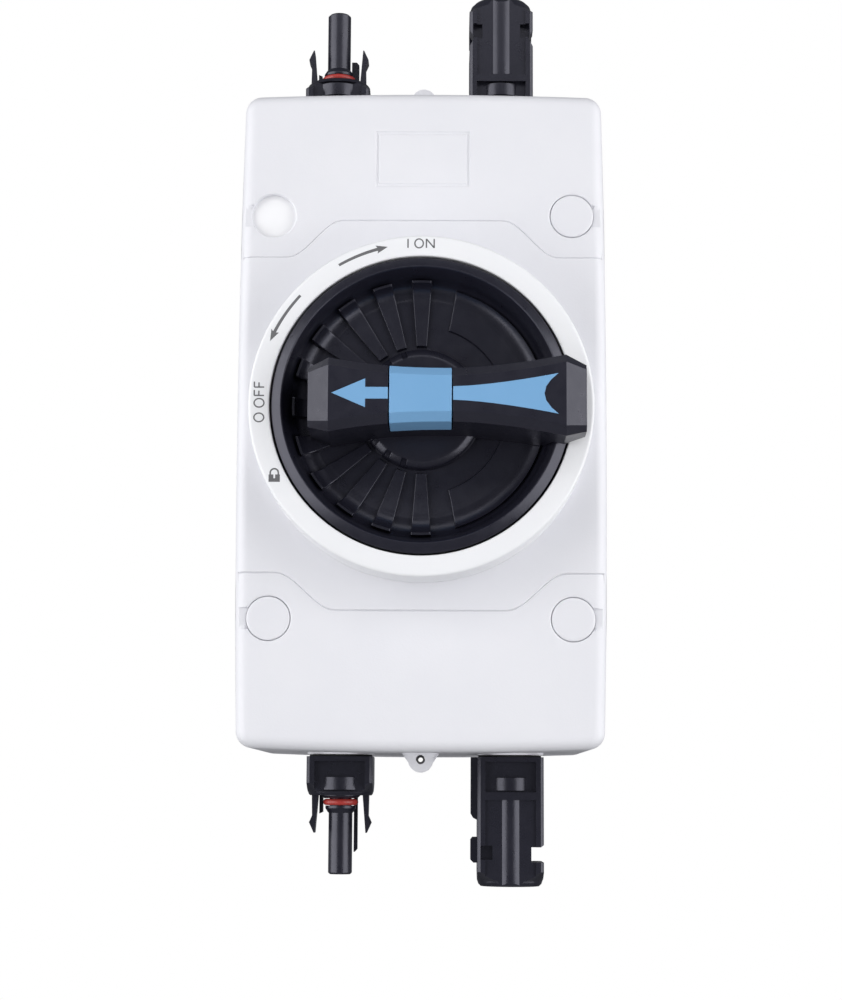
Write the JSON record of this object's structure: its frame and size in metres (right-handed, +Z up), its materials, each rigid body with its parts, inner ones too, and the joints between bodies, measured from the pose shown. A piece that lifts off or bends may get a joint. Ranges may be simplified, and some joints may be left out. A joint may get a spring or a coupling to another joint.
{
  "type": "rotary isolator switch",
  "caption": "Wall-mounted weatherproof rotary isolator switch for solar circuits, with a round dished knob, lockable bar handle and plug connectors above and below.",
  "frame": {"origin": "centre of the flat rear face that lies on the wall, on the knob's axis", "axes": "+Y out of the rear face, into the wall; +Z up, along the enclosure's long side; +X to the right as seen from the front"},
  "size_m": [0.085, 0.0934, 0.2146],
  "materials": {
    "white_plastic": "fine satin grain",
    "black_plastic": "satin moulded",
    "blue_plastic": "satin moulded",
    "black_rubber": "matte",
    "red_rubber": "satin",
    "steel": "zinc plated",
    "grey_plastic": "glass filled",
    "rotor_plastic": "satin",
    "copper": "silver flashed copper",
    "tinned_brass": "tin plated",
    "red_wire": "satin sheath",
    "black_wire": "satin sheath"
  },
  "bodies": {
    "enclosure": {"base_housing": "white_plastic", "front_cover": "white_plastic", "dial_ring": "white_plastic", "seal_eyelets": "steel", "cover_gasket": "black_rubber", "cover_screws": "steel", "screw_caps": "white_plastic", "knob_seal": "black_rubber", "mounting_plate": "steel", "plate_screws": "steel", "contact_deck_1": "grey_plastic", "contact_deck_2": "grey_plastic", "contact_deck_3": "grey_plastic", "contact_deck_4": "grey_plastic", "fixed_contacts_1": "copper", "fixed_contacts_2": "copper", "fixed_contacts_3": "copper", "fixed_contacts_4": "copper", "mechanism_housing": "grey_plastic", "mechanism_cover": "grey_plastic", "snap_spring": "steel", "tie_screws": "steel", "terminal_screws": "steel", "terminal_links": "copper", "wire_top_left": "red_wire", "wire_top_right": "black_wire", "wire_bottom_left": "red_wire", "wire_bottom_right": "black_wire", "nose_connector_top": "black_plastic", "nose_connector_bottom": "black_plastic", "sleeve_connector_top": "black_plastic", "sleeve_connector_bottom": "black_plastic", "socket_contacts": "tinned_brass", "pin_contacts": "tinned_brass", "nose_seals": "red_rubber", "connector_seals": "black_rubber", "connector_nuts": "black_plastic", "foot_screws": "steel"},
    "knob": {"knob_dish": "black_plastic", "handle_grip": "black_plastic", "arrow_inlay": "blue_plastic", "grip_screws": "steel", "knob_retainer": "steel"},
    "lock": {"lock_slide": "blue_plastic"},
    "rotor_stack": {"drive_shaft": "grey_plastic", "rotor_1": "rotor_plastic", "rotor_2": "rotor_plastic", "rotor_3": "rotor_plastic", "rotor_4": "rotor_plastic", "moving_contact_1": "copper", "moving_contact_2": "copper", "moving_contact_3": "copper", "moving_contact_4": "copper"},
    "left_foot": {"foot_left": "steel"},
    "right_foot": {"foot_right": "steel"}
  },
  "joints": [
    {"name": "knob_turn", "type": "hinge", "parent": "enclosure", "child": "knob", "pos_m": [0, 0, 0], "axis": [0, 1, 0], "range_deg": [-25, 90]},
    {"name": "lock_slide", "type": "slide", "parent": "knob", "child": "lock", "axis": [0, -1, 0], "range_m": [0, 0.0084]},
    {"name": "rotor_turn", "type": "hinge", "parent": "enclosure", "child": "rotor_stack", "pos_m": [0, 0, 0], "axis": [0, 1, 0], "range_deg": [-26, 91]},
    {"name": "left_foot_swing", "type": "hinge", "parent": "enclosure", "child": "left_foot", "pos_m": [-0.036, 0, 0], "axis": [0, -1, 0], "range_deg": [0, 90]},
    {"name": "right_foot_swing", "type": "hinge", "parent": "enclosure", "child": "right_foot", "pos_m": [0.036, 0, 0], "axis": [0, 1, 0], "range_deg": [0, 90]}
  ],
  "couplings": [
    {"joint": "rotor_turn", "follows": "knob_turn", "ratio": 1}
  ]
}
